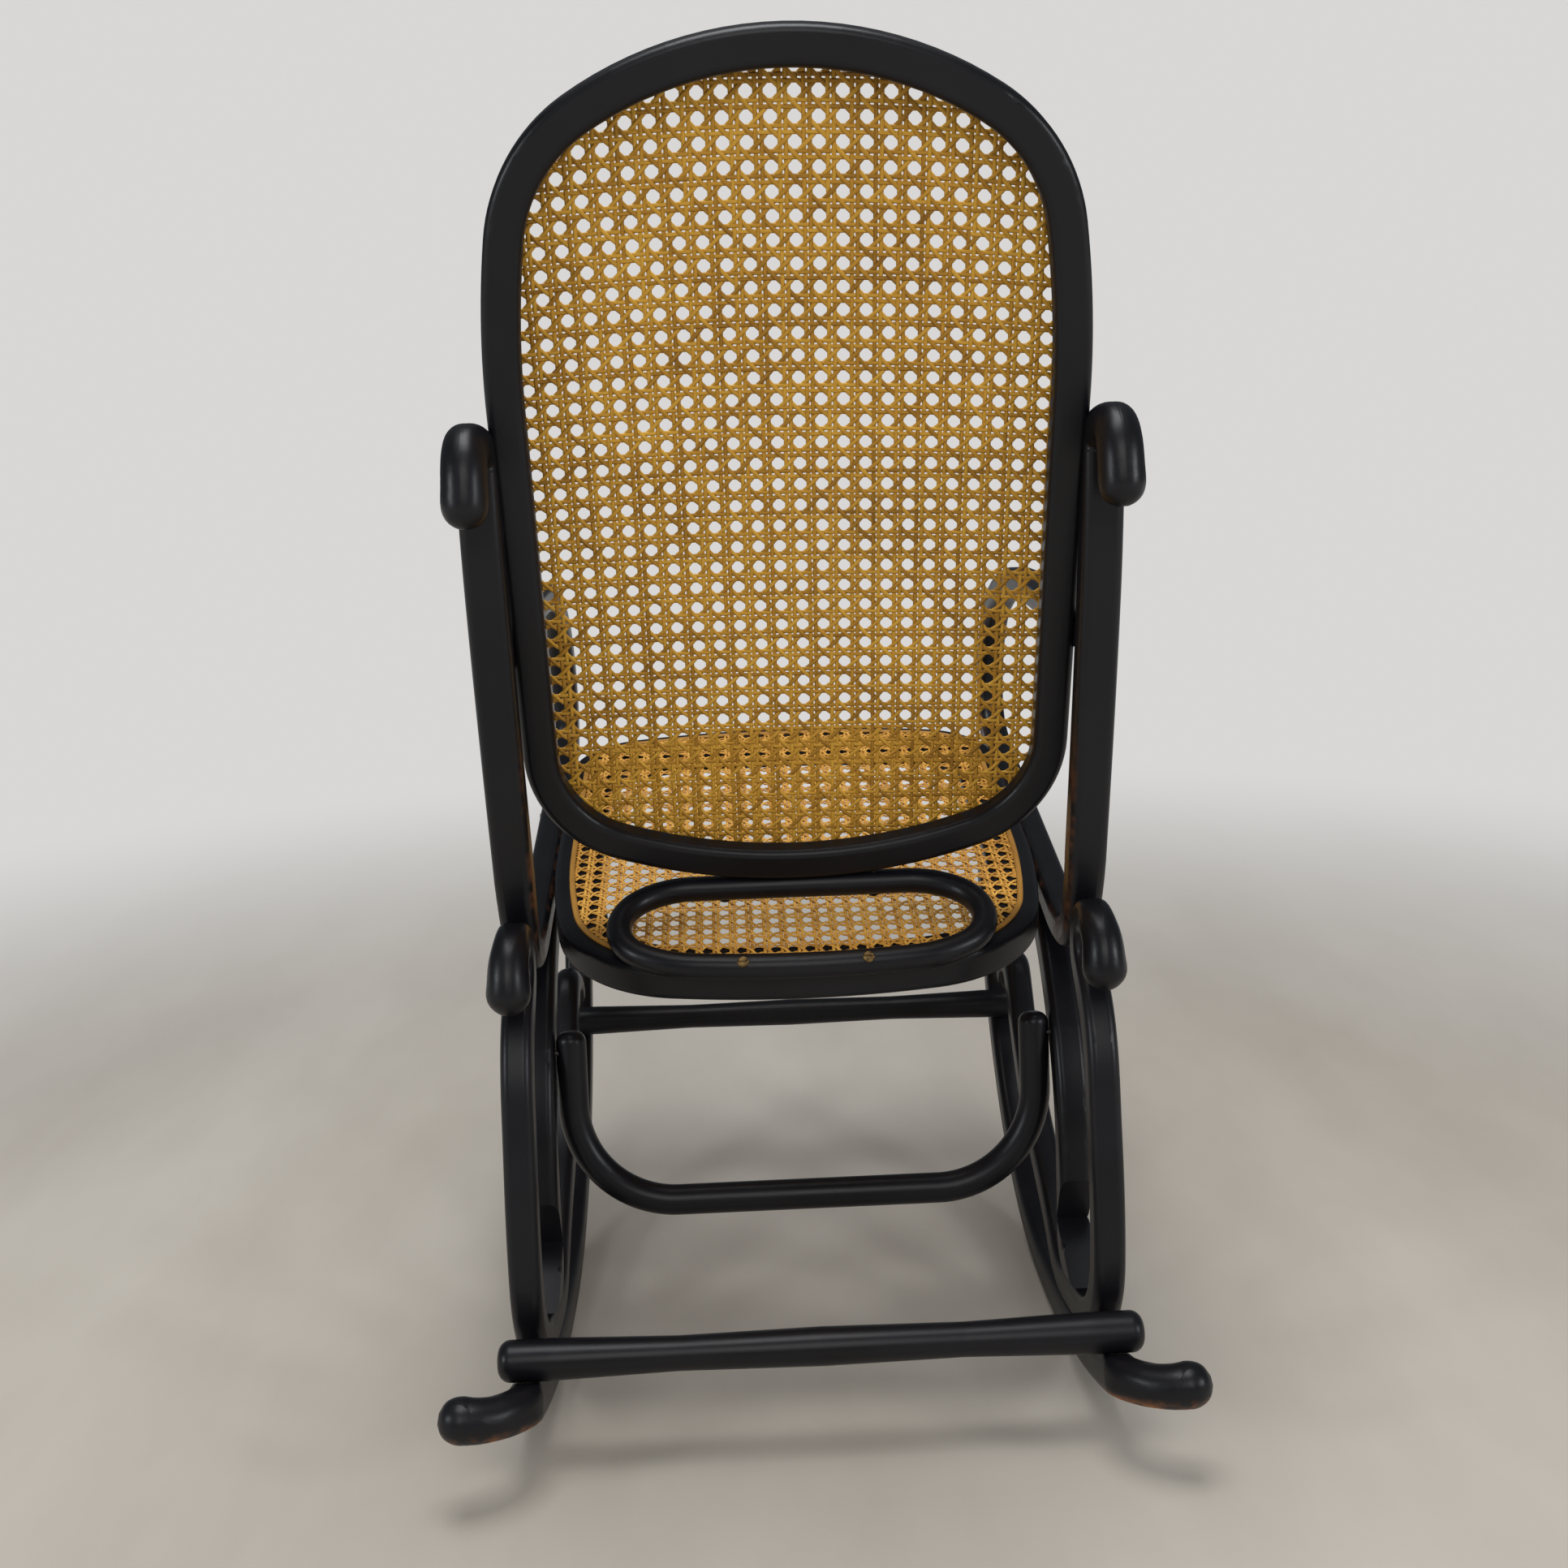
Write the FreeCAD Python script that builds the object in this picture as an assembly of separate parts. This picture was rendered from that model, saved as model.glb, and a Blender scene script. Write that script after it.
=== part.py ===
import FreeCAD, Part
import math
import os

os.makedirs("parts", exist_ok=True)
V = FreeCAD.Vector

# Bentwood rocking chair with a caned seat and back.
# X is the width, the sitter faces -Y and Z is up, in millimetres.
# Side view points are (y, z). Headings are degrees from +Y towards +Z.

# Bent rods of the side frames: width is across the chair, depth is in the side view
side_centre = 219.0
arm_width, arm_depth = 25.0, 26.0
upright_width = 29.5
runner_width, runner_depth = 27.0, 27.0
scroll_width, scroll_depth = 24.0, 26.0
rod_corner = 7.0
joint_gap = 0.3

# Runner: where it meets the floor, and its bend before and behind that point
contact_y = 55.0
front_radius = 351.5
rear_radius = 763.0
front_bend_end = 62.0
rear_bend_end = 21.0

# Arm: the straight run beside the seat, the armrest and the upright
arm_run_z = 364.0
arm_run_y = 57.0
arm_run_front = -212.0
u_bend = (135.0, 350.5)
u_bend_exit = (196.0, 425.0)
upright_middle = (214.0, 500.0)
upright_head = (250.0, 745.0)
back_bolt_z = 728.0
armrest_z = 599.0
armrest_crest = (-90.0, 612.0)
arm_front = (-287.0, 484.0)

# Seat: a bent ring with a caned top, tilted up towards the front
seat_slope = 12.7
seat_rear = (219.6, 351.5)
seat_length = 487.0
seat_rim_height = 28.0
seat_rim_width = 41.0
seat_cane_inset = 13.0
seat_bends = {"bow": 700.0, "corner": 75.0, "side": 700.0, "shoulder": 112.0, "shoulder_x": 86.0, "arch": 650.0}

# Back: a bent ring, leaning back in a shallow S
back_half = 208.5
back_foot = (138.4, 406.1)
back_waist = (203.0, 605.0)
back_passing = (248.0, 745.0)
back_top = (337.0, 1003.0)
back_rail_width = 26.0
back_rail_depth = 21.0
back_cane_inset = 14.0
back_bends = {"bow": 430.0, "corner": 98.0, "side": 700.0, "shoulder": 125.0, "shoulder_x": 75.0, "arch": 268.0}
rail_round = 6.0

# Cane sheets and the binder cane that covers their edge
cane_thickness = 2.4
binder_width = 5.0
binder_height = 1.8

# Plain grid of openings in each cane sheet: how many across, how much of each cell is open, and the closed edge
cane_columns = 12
cane_open_share = 0.56
cane_closed_edge = 8.0

# Turned stretchers, the hoop below the seat and the loop under the back
rear_stretcher_radius = 15.3
rear_stretcher_half = 240.0
front_stretcher_radius = 14.0
front_stretcher_half = 232.0
front_stretcher_angle = 53.4
hoop_radius = 12.5
hoop_top = (110.0, 272.0)
hoop_bottom = (131.0, 128.0)
hoop_corner = 84.0
loop_radius = 10.0
loop_half_width = 143.0
loop_end_length = 58.0
loop_rest = 38.0

# Curls at the ends of the rods
curl_radius = 26.0
curl_knob = 32.0
tail_knob = 33.0
hook_knob = 33.0
inner_knob = 28.0

# Screws
screw_clearance = 0.1
slot_width, slot_depth = 1.3, 0.9
dowel_radius, dowel_half = 4.0, 18.0
loop_screw_x = 47.0
loop_top_screw_x = 60.0
screw_shank, screw_head, screw_dome = 4.0, 9.0, 1.6
bolt_shank, bolt_head, bolt_dome = 6.0, 15.0, 3.5


def heading(degrees):
    """Unit vector of a heading in the side view."""
    angle = math.radians(degrees)
    return V(0, math.cos(angle), math.sin(angle))


def side(point, x=0.0):
    """Point of the side view, at a distance from the middle of the chair."""
    return V(x, point[0], point[1])


def arc_from(start, direction, end):
    """Arc that leaves start along direction and reaches end, as three points and their tangents."""
    chord = end - start
    along = chord.normalize() if chord.Length else direction
    chord = end - start
    across = direction - along * direction.dot(along)
    if across.Length < 1e-6:
        return [(start, direction), (start + chord * 0.5, along), (end, direction)]
    across.normalize()
    half_turn = math.atan2(direction.dot(across), direction.dot(along))
    middle = start + chord * 0.5 + across * (chord.Length / 2 * math.tan(half_turn / 2))
    leaving = along * math.cos(half_turn) - across * math.sin(half_turn)
    return [(start, direction), (middle, along), (end, leaving)]


def biarc(start, first, end, last):
    """Two arcs, tangent to each other, from one point and direction to another."""
    first, last = V(first).normalize(), V(last).normalize()
    span = end - start
    both = first + last
    spread = 2 * (1 - first.dot(last))
    reach = span.dot(both)
    if spread < 1e-9:
        tangent_length = span.Length / 4 if abs(reach) < 1e-9 else span.dot(span) / (2 * reach)
    else:
        tangent_length = (math.sqrt(reach * reach + spread * span.dot(span)) - reach) / spread
    joint = (start + first * tangent_length + end - last * tangent_length) * 0.5
    one = arc_from(start, first, joint)
    return [one, arc_from(joint, one[2][1], end)]


def bend(stations):
    """Chain of tangent arcs through stations, each a point and a direction."""
    arcs = []
    for (start, first), (end, last) in zip(stations, stations[1:]):
        arcs += biarc(start, first, end, last)
    return arcs


def edge_of(arc, shift=V(0, 0, 0)):
    """Edge of an arc from arc_from."""
    start, middle, end = (point + shift for point, tangent in arc)
    chord = end - start
    bow = (middle - start) - chord * ((middle - start).dot(chord) / chord.dot(chord))
    if bow.Length < 1e-5:
        return Part.LineSegment(start, end).toShape()
    return Part.Arc(start, middle, end).toShape()


def wire_of(arcs):
    return Part.Wire([edge_of(arc) for arc in arcs])


def section(point, tangent, across, width, depth, corner):
    """Rounded rectangle square to tangent, with its width along across."""
    tangent = V(tangent).normalize()
    across = (across - tangent * across.dot(tangent)).normalize()
    down = tangent.cross(across)
    corner = min(corner, 0.49 * min(width, depth))
    edges, last, first = [], None, None
    slant = corner * (1 - math.sqrt(0.5))
    for turn in range(4):
        a, b = ((across, down), (down, across * -1), (across * -1, down * -1), (down * -1, across))[turn]
        half_a = (width if turn % 2 == 0 else depth) / 2
        half_b = (depth if turn % 2 == 0 else width) / 2
        one = point + a * half_a + b * (half_b - corner)
        two = point + a * (half_a - corner) + b * half_b
        middle = point + a * (half_a - slant) + b * (half_b - slant)
        if last is not None:
            edges.append(Part.LineSegment(last, one).toShape())
        else:
            first = one
        edges.append(Part.Arc(one, middle, two).toShape())
        last = two
    edges.append(Part.LineSegment(last, first).toShape())
    return Part.Wire(edges)


def swept(arcs, width, depth, corner=rod_corner, across=V(1, 0, 0)):
    """Rod of one section along a chain of arcs."""
    start, tangent = arcs[0][0]
    return wire_of(arcs).makePipeShell([section(start, tangent, across, width, depth, corner)], True, False)


def spots(arcs, steps):
    """Points and tangents along a chain of arcs, with a number of steps on each arc."""
    found = [arcs[0][0]]
    for arc in arcs:
        edge = edge_of(arc)
        low, high = edge.ParameterRange
        for step in range(1, steps + 1):
            value = low + (high - low) * step / steps
            found.append((edge.valueAt(value), edge.tangentAt(value)))
    return found


def widening(arcs, width, end_width, depth, corner=rod_corner, across=V(1, 0, 0)):
    """Stretch of a rod that widens along a chain of arcs."""
    places = spots(arcs, 4)
    wires = []
    for number, (point, tangent) in enumerate(places):
        wide = width + (end_width - width) * number / (len(places) - 1)
        wires.append(section(point, tangent, across, wide, depth, corner))
    return Part.makeLoft(wires, True, False)


def knob(arcs, width, depth, bulb, corner=rod_corner, across=V(1, 0, 0)):
    """Rounded end of a bent rod: it swells from the rod's section to a round bulb and closes in a dome."""
    places = spots(arcs, 2)
    wires = []
    for number, (point, tangent) in enumerate(places):
        share = number / (len(places) - 1)
        wide = width + (bulb - width) * share
        deep = depth + (bulb - depth) * share
        round_corner = corner + (0.49 * bulb - corner) * min(1.0, share * 1.4)
        wires.append(section(point, tangent, across, wide, deep, round_corner))
    point, tangent = places[-1]
    for angle in (30, 56, 76):
        turn = math.radians(angle)
        size = bulb * math.cos(turn)
        centre = point + tangent * (bulb / 2 * math.sin(turn))
        wires.append(section(centre, tangent, across, size, size, 0.49 * size))
    return Part.makeLoft(wires, True, False)


def mirrored(shape):
    return shape.mirror(V(0, 0, 0), V(1, 0, 0))


def beside(point, angle, distance):
    """Point at a distance to the right of a heading, in the side view."""
    normal = heading(angle - 90)
    return (point[0] + normal.y * distance, point[1] + normal.z * distance)


solids = {}

# Arm: armrest, front turn, straight run beside the seat, bend at the seat's rear, upright and curl
run_angle = -seat_slope
run_rise = math.tan(math.radians(seat_slope))


def run_point(y):
    """Centre of the arm's straight run at a distance along the chair."""
    return (y, arm_run_z + (arm_run_y - y) * run_rise)


upright_low = (upright_head[0] - 9.0, upright_head[1] - 115.0)
upright_top = (upright_head[0] + 0.5, upright_head[1] - 12.0)
arm_stations = [
    (armrest_crest, 181),
    (arm_front, 270),
    (run_point(arm_run_front), 360 + run_angle),
    (run_point(arm_run_y), run_angle),
    (u_bend, 2),
    (u_bend_exit, 77),
    (upright_middle, 77),
    (upright_low, 80),
    (upright_top, 89),
]


def side_arcs(stations, x=side_centre):
    """Arcs through side view points and headings, in a plane at x."""
    return bend([(side(point, x), heading(angle)) for point, angle in stations])


def crossing(arcs, z):
    """Point and tangent where a rising chain of arcs passes a height."""
    for arc in arcs:
        if arc[0][0].z <= z <= arc[2][0].z:
            edge = edge_of(arc)
            low, high = edge.ParameterRange
            for trial in range(40):
                middle = (low + high) / 2
                if edge.valueAt(middle).z < z:
                    low = middle
                else:
                    high = middle
            return edge.valueAt(low), edge.tangentAt(low)
    return arcs[-1][2]


upright_arcs = side_arcs(arm_stations[5:])
armrest_joint, upright_tangent = crossing(upright_arcs, armrest_z)
upright_front = V(0, -upright_tangent.z, upright_tangent.y)
armrest_end = (armrest_joint.y, armrest_z)
arm_arcs = side_arcs([(armrest_end, 178)] + arm_stations)

# The armrest's end is cut parallel to the upright's front face
arm_first = swept(arm_arcs[:2], arm_width, arm_depth)
arm_middle = swept(arm_arcs[2:10], arm_width, arm_depth)
arm_bend = widening(arm_arcs[10:12], arm_width, upright_width, arm_depth)
arm_upright = swept(arm_arcs[12:], upright_width, arm_depth)
end_face = armrest_joint + upright_front * (arm_depth / 2 + joint_gap)
trim = Part.makeBox(60, 60, 90, V(-30, 0, -45))
trim.rotate(V(0, 0, 0), V(1, 0, 0), math.degrees(math.atan2(upright_tangent.z, upright_tangent.y)) - 90)
trim.translate(end_face)
arm_first = arm_first.cut(trim)

curl_lean = V(0.05, 0.99, 0).normalize()
curl_start = side(upright_top, side_centre)
curl_arcs = bend([
    (curl_start, heading(89)),
    (curl_start + curl_lean * curl_radius + V(0, 0, curl_radius - 7.0), curl_lean),
    (curl_start + curl_lean * (2 * curl_radius) + V(0, 0, -21.0), V(0.04, 0.02, -1)),
])
curl = knob(curl_arcs, upright_width, arm_depth, curl_knob)
arm_solid = arm_middle.fuse([arm_first, arm_bend, arm_upright, curl])

# Runner: front bend, floor curve and tail, and the return that runs back under the arm to the scroll
stack = (arm_depth + runner_depth) / 2 + joint_gap
scroll_stack = (scroll_depth + runner_depth) / 2 + joint_gap


def on_curve(radius, angle, inward=0.0):
    """Point of the runner's curve at an angle from the floor contact, behind it or, if negative, in front."""
    turn = math.radians(angle)
    reach = radius - inward
    return (contact_y + reach * math.sin(turn), runner_depth / 2 + radius - reach * math.cos(turn))


foot_inward = 2 * scroll_stack
foot_angle = 12.3
scarf_angle = 38.0
under_run_rear = beside(run_point(-20.0), run_angle, stack)
under_run_front = beside(run_point(-185.0), run_angle, stack)
runner_arcs = side_arcs([
    (on_curve(rear_radius, foot_angle, foot_inward), 180 + foot_angle),
    (on_curve(rear_radius, 9.8, foot_inward), 189.8),
    ((153.5, 135.0), 97),
    ((144.0, 197.0), 106),
    ((73.0, 306.0), 136),
    (under_run_rear, 180 + run_angle),
    (under_run_front, 180 + run_angle),
    ((-289.0, 300.0), 270),
    (on_curve(front_radius, -front_bend_end), 360 - front_bend_end),
    ((contact_y, runner_depth / 2), 0),
    (on_curve(rear_radius, rear_bend_end), rear_bend_end),
])
runner_rod = swept(runner_arcs, runner_width, runner_depth)
tail_root = side(on_curve(rear_radius, rear_bend_end), side_centre)
tail_arcs = bend([
    (tail_root, heading(rear_bend_end)),
    (tail_root + V(15, 25, 6.5), V(0.78, 0.6, 0.12)),
    (tail_root + V(41, 35, 11), V(0.97, 0.08, 0.2)),
])
runner_solid = runner_rod.fuse(knob(tail_arcs, runner_width, runner_depth, tail_knob))

# The return's end is scarfed to a feather edge on the scroll
foot_tip = runner_arcs[0][0][0]
scarf = Part.makeBox(60, 90, 60, V(-30, -70, 0))
scarf.rotate(V(0, 0, 0), V(1, 0, 0), foot_angle - scarf_angle)
scarf.translate(foot_tip - heading(90 + foot_angle) * (runner_depth / 2 - 1.5))
runner_solid = runner_solid.cut(scarf)

# Scroll: hook under the arm, rear rod, run on top of the runner, and the inner curl at the front
u_arc = [arc for arc in side_arcs(arm_stations[4:6])][1]
u_curve = edge_of(u_arc).Curve
hook_radius = 25.0
hook_reach = u_curve.Radius + arm_depth / 2 + joint_gap + scroll_depth / 2 + hook_radius
hook_aim = -27.0
hook_centre = u_curve.Center + heading(hook_aim) * hook_reach


def on_hook(angle):
    point = hook_centre + heading(angle) * hook_radius
    return (point.y, point.z)


scroll_arcs = side_arcs([
    (on_hook(90), 180),
    (on_hook(180), 270),
    (on_hook(227), 317),
    ((248.0, 300.0), 297),
    ((269.0, 225.0), 284),
    ((281.0, 135.0), 270),
    (on_curve(rear_radius, 12.5, scroll_stack), 192.5),
    (on_curve(rear_radius, 7.5, scroll_stack), 187.5),
    ((57.0, 86.0), 155),
    ((-40.0, 136.0), 143),
    ((-116.0, 214.0), 126),
])
scroll_rod = swept(scroll_arcs, scroll_width, scroll_depth)
hook_top = side(on_hook(90), side_centre)
hook_arcs = bend([
    (hook_top, heading(0)),
    (hook_top + V(1.0, 18.0, -6.5), V(0.12, 0.75, -0.64)),
    (hook_top + V(2.0, 30.0, -31.0), V(0.05, 0.12, -1)),
])
curl_foot = side((-116.0, 214.0), side_centre)
inner_curl = bend([
    (curl_foot, heading(126)),
    (curl_foot + V(0, -25.0, 19.0), heading(180)),
    (curl_foot + V(0, -49.0, 0.0), heading(262)),
])
scroll_solid = scroll_rod.fuse([
    knob(hook_arcs, scroll_width, scroll_depth, hook_knob),
    knob(inner_curl, scroll_width, scroll_depth, inner_knob),
])

for name, solid in (("arm", arm_solid), ("runner", runner_solid), ("scroll", scroll_solid)):
    solids["left_" + name] = solid
    solids["right_" + name] = mirrored(solid)


# Outlines of the seat and the back are chains of arcs that pass into each other
def toward(centre, radius, other):
    """Point of a circle on the line from its centre through another centre."""
    return centre + (other - centre).normalize() * radius


def arc_about(centre, start, end):
    """Edge of the arc about a centre from start to end."""
    middle = (start - centre + end - centre).normalize() * (start - centre).Length
    return Part.Arc(start, centre + middle, end).toShape()


def circle_meet(one, one_radius, other, other_radius):
    """Point to the right of the line from one centre to the other, on both circles."""
    span = other - one
    along = (span.Length ** 2 + one_radius ** 2 - other_radius ** 2) / (2 * span.Length)
    off = math.sqrt(one_radius ** 2 - along ** 2)
    direction = span.normalize()
    return one + direction * along + V(direction.y, -direction.x, 0) * off


def ring_edges(half, length, bends, inset):
    """Half of a bent ring's outline, drawn in by an inset, from its low end at y 0 to its arched end."""
    bow = V(0, bends["bow"], 0)
    run = half - bends["corner"]
    corner = V(run, bow.y - math.sqrt((bends["bow"] - bends["corner"]) ** 2 - run ** 2), 0)
    arch = V(0, length - bends["arch"], 0)
    reach = bends["arch"] - bends["shoulder"]
    shoulder = V(bends["shoulder_x"], arch.y + math.sqrt(reach ** 2 - bends["shoulder_x"] ** 2), 0)
    reach = bends["side"] - bends["shoulder"]
    run = bends["side"] - half + shoulder.x
    flank = V(half - bends["side"], shoulder.y - math.sqrt(reach ** 2 - run ** 2), 0)
    points = [
        V(0, inset, 0),
        toward(bow, bends["bow"] - inset, corner),
        V(half - inset, corner.y, 0),
        V(half - inset, flank.y, 0),
        toward(flank, bends["side"] - inset, shoulder),
        toward(arch, bends["arch"] - inset, shoulder),
        V(0, length - inset, 0),
    ]
    return [
        arc_about(bow, points[0], points[1]),
        arc_about(corner, points[1], points[2]),
        Part.LineSegment(points[2], points[3]).toShape(),
        arc_about(flank, points[3], points[4]),
        arc_about(shoulder, points[4], points[5]),
        arc_about(arch, points[5], points[6]),
    ]


def ring_outline(half, length, bends, inset):
    """Face of a bent ring's whole outline, drawn in by an inset."""
    edges = ring_edges(half, length, bends, inset)
    other = mirrored(Part.Wire(edges))
    return Part.Face(Part.Wire(Part.__sortEdges__(edges + other.Edges)))


def block(face, low, high):
    """Solid of a flat outline between two heights above its plane."""
    raised = face.copy()
    raised.translate(V(0, 0, low))
    return raised.extrude(V(0, 0, high - low))


def openwork(outline, clear):
    """Outline of a cane sheet with a plain grid of square openings, all of them within a smaller outline."""
    area = outline.BoundBox
    pitch = (area.XLength - 2 * cane_closed_edge) / cane_columns
    half = pitch * cane_open_share / 2
    inner = block(clear, -1, 1)
    rows = int((area.YLength - 2 * cane_closed_edge) / pitch)
    openings = []
    for row in range(rows):
        y = (area.YMin + area.YMax) / 2 + pitch * (row - (rows - 1) / 2)
        for column in range(cane_columns):
            x = pitch * (column - (cane_columns - 1) / 2)
            corners = [V(x + a * half, y + b * half, 0) for a, b in ((-1, -1), (1, -1), (1, 1), (-1, 1))]
            if all(inner.isInside(corner, 0.01, True) for corner in corners):
                openings.append(Part.Face(Part.makePolygon(corners + corners[:1])))
    return outline.cut(openings).Faces[0]


def sharp_edges(shape):
    """Edges where two faces meet at a corner."""
    found = []
    for edge in shape.Edges:
        faces = shape.ancestorsOfType(edge, Part.Face)
        if len(faces) == 2:
            low, high = edge.ParameterRange
            point = edge.valueAt((low + high) / 2)
            normals = [face.normalAt(*face.Surface.parameter(point)) for face in faces]
            if abs(normals[0].dot(normals[1])) < 0.9:
                found.append(edge)
    return found


# Seat ring, cane and binder, drawn flat with the rear edge at y 0 and then tilted into place
seat_half = side_centre - arm_width / 2 - joint_gap


def seat_outline(inset):
    face = ring_outline(seat_half, seat_length, seat_bends, inset)
    face.translate(V(0, -seat_length, 0))
    return face


def seat_place(shape):
    placed = shape.copy()
    placed.rotate(V(0, 0, 0), V(1, 0, 0), -seat_slope)
    placed.translate(side(seat_rear))
    return placed


def seat_point(x, back, up):
    """Point at a distance from the middle, behind the seat's rear edge and above its top."""
    return side(seat_rear, x) + heading(-seat_slope) * back + heading(90 - seat_slope) * up


rim = block(seat_outline(0), -seat_rim_height, 0).cut(block(seat_outline(seat_rim_width), -seat_rim_height, 0))
seat_frame = seat_place(rim.makeFillet(rail_round, sharp_edges(rim)))
binder_inset = seat_cane_inset + binder_width
sheet_inset = binder_inset + joint_gap
seat_sheet = openwork(seat_outline(sheet_inset), seat_outline(sheet_inset + cane_closed_edge))
seat_cane = seat_place(block(seat_sheet, 0, cane_thickness))
seat_binder = block(seat_outline(seat_cane_inset), 0, binder_height)
seat_binder = seat_place(seat_binder.cut(block(seat_outline(binder_inset), 0, binder_height)))

# Back ring, cane and binder: outlines square to the back's chord, cut from slabs curved as the back is
back_foot_heading = 73.0
back_arcs = side_arcs([(back_foot, back_foot_heading), (back_waist, 72.0), (back_passing, 71.0), (back_top, 72.5)], 0)
back_chord = side(back_top) - side(back_foot)
back_lean = math.degrees(math.atan2(back_chord.z, back_chord.y))


def back_outline(inset):
    return ring_outline(back_half, back_chord.Length, back_bends, inset)


def back_prism(outline):
    """Endless prism of an outline of the back, square to its chord."""
    prism = block(outline, -90, 90)
    prism.rotate(V(0, 0, 0), V(1, 0, 0), back_lean)
    prism.translate(side(back_foot))
    return prism


def back_slab(near, far):
    """Curved slab between two distances in front of the back's middle surface."""
    edges, ends = [], []
    for distance in (near, far):
        rail = []
        for arc in back_arcs:
            rail.append([point + V(0, -tangent.z, tangent.y) * distance for point, tangent in arc])
        foot = rail[0][0] - back_arcs[0][0][1] * 40
        head = rail[-1][2] + back_arcs[-1][2][1] * 40
        edges.append(Part.LineSegment(foot, rail[0][0]).toShape())
        edges += [Part.Arc(*places).toShape() for places in rail]
        edges.append(Part.LineSegment(rail[-1][2], head).toShape())
        ends.append((foot, head))
    edges += [Part.LineSegment(one, other).toShape() for one, other in zip(*ends)]
    face = Part.Face(Part.Wire(Part.__sortEdges__(edges)))
    face.translate(V(-300, 0, 0))
    return face.extrude(V(600, 0, 0))


def on_back(place):
    """Point and tangent on the back's middle surface for those of a flat outline edge."""
    flat, flat_tangent = place
    rise = V(0, math.cos(math.radians(back_lean)), math.sin(math.radians(back_lean)))
    for arc in back_arcs:
        if flat.y <= (arc[2][0] - side(back_foot)).dot(rise) + 1e-6:
            edge = edge_of(arc)
            low, high = edge.ParameterRange
            for trial in range(40):
                middle = (low + high) / 2
                if (edge.valueAt(middle) - side(back_foot)).dot(rise) < flat.y:
                    low = middle
                else:
                    high = middle
            up = edge.tangentAt(low)
            return edge.valueAt(low) + V(flat.x, 0, 0), V(flat_tangent.x, 0, 0) + up * (flat_tangent.y / up.dot(rise))


def back_rail_stations(inset):
    """Places along one half of the back's outline, raised onto its curved surface."""
    stations = []
    for edge in ring_edges(back_half, back_chord.Length, back_bends, inset):
        pieces = 4 if edge.Curve.TypeId == "Part::GeomLine" else 2
        low, high = edge.FirstParameter, edge.LastParameter
        for piece in range(1 if stations else 0, pieces + 1):
            value = low + (high - low) * piece / pieces
            stations.append(on_back((edge.valueAt(value), edge.tangentAt(value))))
    return stations


rail_arcs = bend(back_rail_stations(back_rail_width / 2))
low_facing = heading(back_foot_heading + 90)
rail_half = swept(rail_arcs, back_rail_depth, back_rail_width, rail_round, low_facing)
back_frame = rail_half.fuse(mirrored(rail_half)).removeSplitter()

# The back ring is let into the inner faces of the uprights and the armrests
recess_depth, recess_width = back_rail_depth + 2 * joint_gap, back_rail_width + 2 * joint_gap
recess = swept(rail_arcs, recess_depth, recess_width, rail_round + joint_gap, low_facing)
solids["left_arm"] = solids["left_arm"].cut(recess)
solids["right_arm"] = mirrored(solids["left_arm"])

face_start = back_rail_depth / 2 + joint_gap
binder_inset = back_cane_inset + binder_width
sheet_inset = binder_inset + joint_gap
back_sheet = openwork(back_outline(sheet_inset), back_outline(sheet_inset + cane_closed_edge))
back_cane = back_prism(back_sheet).common(back_slab(face_start, face_start + cane_thickness))
back_binder = back_prism(back_outline(back_cane_inset)).cut(back_prism(back_outline(binder_inset)))
back_binder = back_binder.common(back_slab(face_start, face_start + binder_height))


# Turned stretchers: round ends where the runners are, a neck inside each and a slight belly between
def stretcher(centre, half_length, radius):
    neck, belly = 0.83 * radius, 0.93 * radius
    neck_place, shoulder = 0.44 * half_length, 0.84 * half_length
    along = V(1, 0, 0)
    half = Part.makeCylinder(radius, half_length - shoulder, V(shoulder, 0, 0), along)
    half = half.makeFillet(0.62 * radius, [edge for edge in half.Edges if edge.BoundBox.XMin > half_length - 0.01])
    swell = Part.makeCone(neck, radius, shoulder - neck_place, V(neck_place, 0, 0), along)
    half = half.fuse([swell, Part.makeCone(belly, neck, neck_place, V(0, 0, 0), along)])
    turned = half.fuse(mirrored(half))
    turned.translate(side(centre))
    return turned


rear_reach = runner_depth / 2 + rear_stretcher_radius + joint_gap
front_reach = runner_depth / 2 + front_stretcher_radius + joint_gap
rear_stretcher_centre = on_curve(rear_radius, 20.0, rear_reach)
front_stretcher_centre = on_curve(front_radius, -front_stretcher_angle, front_reach)
rear_stretcher = stretcher(rear_stretcher_centre, rear_stretcher_half, rear_stretcher_radius)
front_stretcher = stretcher(front_stretcher_centre, front_stretcher_half, front_stretcher_radius)

# Hoop below the seat, between the inner flanks of the runners' returns
hoop_half = side_centre - runner_width / 2 - joint_gap - hoop_radius
hoop_down = (side(hoop_bottom) - side(hoop_top)).normalize()
hoop_knee = side(hoop_bottom, hoop_half) - hoop_down * hoop_corner
hoop_half_arcs = bend([
    (side(hoop_top, hoop_half), hoop_down),
    (hoop_knee, hoop_down),
    (side(hoop_bottom, hoop_half - hoop_corner), V(-1, 0, 0)),
    (side(hoop_bottom, 0), V(-1, 0, 0)),
])


def round_rod(arcs, radius):
    """Round rod along a chain of arcs."""
    start, tangent = arcs[0][0]
    profile = Part.Wire(Part.makeCircle(radius, start, tangent))
    return wire_of(arcs).makePipeShell([profile], True, False)


hoop_side = round_rod(hoop_half_arcs, hoop_radius)
hoop_side = hoop_side.makeFillet(9.0, [edge for edge in hoop_side.Edges if edge.BoundBox.ZMin > hoop_top[1] - 4.0])
hoop_brace = hoop_side.fuse(mirrored(hoop_side)).removeSplitter()

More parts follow.
